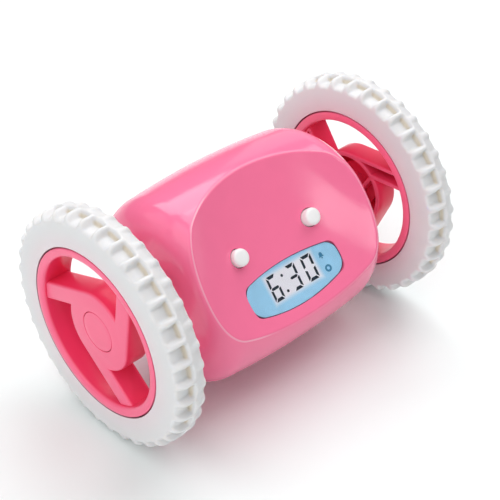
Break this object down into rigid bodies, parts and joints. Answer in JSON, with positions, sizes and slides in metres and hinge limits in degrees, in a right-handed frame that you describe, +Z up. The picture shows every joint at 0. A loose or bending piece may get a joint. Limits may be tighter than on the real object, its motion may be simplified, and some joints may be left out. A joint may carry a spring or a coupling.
{
  "type": "runaway alarm clock",
  "caption": "Barrel-shaped alarm clock with a dished face, a display window and two push buttons, carried between two driven wheels with lugged tyres.",
  "frame": {"origin": "on the surface that it stands on, under the middle of the axle", "axes": "+X along the axle towards the right wheel, -Y towards the front with the display, +Z up"},
  "size_m": [0.136, 0.089, 0.089],
  "materials": {
    "body_plastic": "gloss moulded plastic, hot pink",
    "hub_plastic": "gloss moulded plastic, hot pink",
    "tyre_rubber": "soft matt white rubber",
    "button_plastic": "white plastic",
    "clear_lens": "clear polished window",
    "lcd_glass": "liquid crystal display glass",
    "backlight": "frosted light guide",
    "silicone": "conductive silicone",
    "white_plastic": "matt white plastic",
    "board": "green solder mask",
    "epoxy": "black potting resin",
    "steel": "plain bright steel",
    "can_steel": "drawn steel can",
    "magnet": "ferrite",
    "rotor": "laminations with copper windings",
    "speaker": "black frame and cone",
    "cell": "plain sleeve over a can",
    "contact": "plated spring brass",
    "grey_plastic": "matt grey plastic",
    "gear_plastic": "natural acetal",
    "brass": "turned brass"
  },
  "bodies": {
    "chassis": {"backlight_panel": "backlight", "battery_1": "cell", "battery_2": "cell", "battery_3": "cell", "battery_4": "cell", "battery_tray": "grey_plastic", "board_screws": "steel", "controller_chip": "epoxy", "display_frame": "white_plastic", "flat_contacts": "contact", "front_shell": "body_plastic", "gearbox_screws": "steel", "idler_pins": "steel", "lcd_contact_strip": "silicone", "lcd_glass": "lcd_glass", "lcd_lens": "clear_lens", "left_axle_bush": "brass", "left_gearbox_inner_plate": "grey_plastic", "left_gearbox_outer_plate": "grey_plastic", "left_motor_can": "can_steel", "left_motor_end_cap": "white_plastic", "left_motor_magnets": "magnet", "loudspeaker": "speaker", "main_board": "board", "motor_screws": "steel", "quartz_crystal": "steel", "rear_shell": "body_plastic", "right_axle_bush": "brass", "right_gearbox_inner_plate": "grey_plastic", "right_gearbox_outer_plate": "grey_plastic", "right_motor_can": "can_steel", "right_motor_end_cap": "white_plastic", "right_motor_magnets": "magnet", "shell_screws": "steel", "spring_contacts": "contact", "tact_switches": "epoxy"},
    "left_wheel": {"left_wheel_hub": "hub_plastic", "left_tyre": "tyre_rubber", "left_hub_cap": "hub_plastic", "left_hub_screw": "steel", "left_drive_axle": "steel", "left_output_gear": "gear_plastic"},
    "left_idler": {"left_idler_gear": "gear_plastic"},
    "left_rotor": {"left_motor_rotor": "rotor", "left_motor_shaft": "steel", "left_motor_pinion": "brass"},
    "left_button": {"left_button": "button_plastic"},
    "right_wheel": {"right_wheel_hub": "hub_plastic", "right_tyre": "tyre_rubber", "right_hub_cap": "hub_plastic", "right_hub_screw": "steel", "right_drive_axle": "steel", "right_output_gear": "gear_plastic"},
    "right_idler": {"right_idler_gear": "gear_plastic"},
    "right_rotor": {"right_motor_rotor": "rotor", "right_motor_shaft": "steel", "right_motor_pinion": "brass"},
    "right_button": {"right_button": "button_plastic"},
    "door": {"battery_door": "body_plastic"}
  },
  "joints": [
    {"name": "left_wheel_spin", "type": "hinge", "parent": "chassis", "child": "left_wheel", "pos_m": [0, 0, 0.0445], "axis": [1, 0, 0], "continuous": true},
    {"name": "left_idler_spin", "type": "hinge", "parent": "chassis", "child": "left_idler", "pos_m": [0, -0.01139, 0.04289], "axis": [1, 0, 0], "continuous": true},
    {"name": "left_rotor_spin", "type": "hinge", "parent": "chassis", "child": "left_rotor", "pos_m": [0, -0.013, 0.0315], "axis": [1, 0, 0], "continuous": true},
    {"name": "right_wheel_spin", "type": "hinge", "parent": "chassis", "child": "right_wheel", "pos_m": [0, 0, 0.0445], "axis": [1, 0, 0], "continuous": true},
    {"name": "right_idler_spin", "type": "hinge", "parent": "chassis", "child": "right_idler", "pos_m": [0, -0.01139, 0.04289], "axis": [1, 0, 0], "continuous": true},
    {"name": "right_rotor_spin", "type": "hinge", "parent": "chassis", "child": "right_rotor", "pos_m": [0, -0.013, 0.0315], "axis": [1, 0, 0], "continuous": true},
    {"name": "left_button_press", "type": "slide", "parent": "chassis", "child": "left_button", "axis": [0, 0.766, -0.6428], "range_m": [0, 0.0008], "stiffness_N_per_m": 600, "springref_m": -0.0005},
    {"name": "right_button_press", "type": "slide", "parent": "chassis", "child": "right_button", "axis": [0, 0.766, -0.6428], "range_m": [0, 0.0008], "stiffness_N_per_m": 600, "springref_m": -0.0005},
    {"name": "door_lift", "type": "slide", "parent": "chassis", "child": "door", "axis": [0, 0.682, -0.7314], "range_m": [0, 0.005]}
  ],
  "couplings": [
    {"joint": "left_idler_spin", "follows": "left_wheel_spin", "ratio": -3.6},
    {"joint": "left_rotor_spin", "follows": "left_wheel_spin", "ratio": 12.96},
    {"joint": "right_idler_spin", "follows": "right_wheel_spin", "ratio": -3.6},
    {"joint": "right_rotor_spin", "follows": "right_wheel_spin", "ratio": 12.96}
  ]
}
